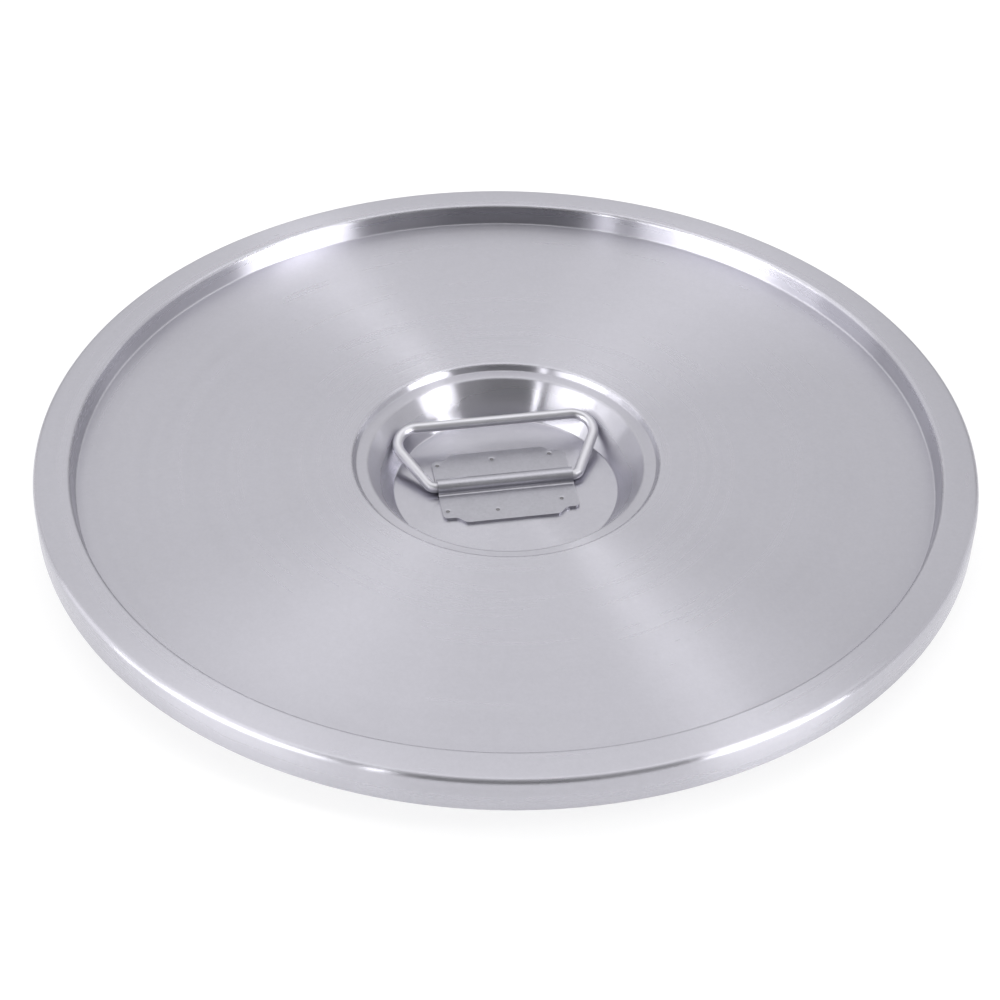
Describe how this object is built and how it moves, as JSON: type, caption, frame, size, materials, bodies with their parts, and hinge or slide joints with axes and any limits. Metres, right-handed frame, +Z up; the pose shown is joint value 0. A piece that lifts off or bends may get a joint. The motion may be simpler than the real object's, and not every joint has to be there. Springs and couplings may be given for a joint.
{
  "type": "kettle lid",
  "caption": "Round pressed steel lid for a large brew or stock pot, with a recessed centre and a folding wire handle under a welded hinge strap.",
  "frame": {"origin": "on the lid's axis, at the underside of the recess floor, the face that the lid stands on", "axes": "+Z up through the lid's top; X along the handle's hinge; the folded handle lies on the +Y side"},
  "size_m": [0.43, 0.43, 0.0311],
  "materials": {
    "pan_steel": "circular brushed, satin",
    "strap_steel": "bright rolled, satin",
    "weld_steel": "dull spot-weld mark",
    "wire_steel": "drawn wire, lightly polished"
  },
  "bodies": {
    "lid": {"lid_pan": "pan_steel", "hinge_strap": "strap_steel", "spot_welds": "weld_steel"},
    "handle": {"wire_handle": "wire_steel"}
  },
  "joints": [
    {"name": "handle_fold", "type": "hinge", "parent": "lid", "child": "handle", "pos_m": [0, 0.0018, 0.0036], "axis": [1, 0, 0], "range_deg": [0, 157.3]}
  ]
}
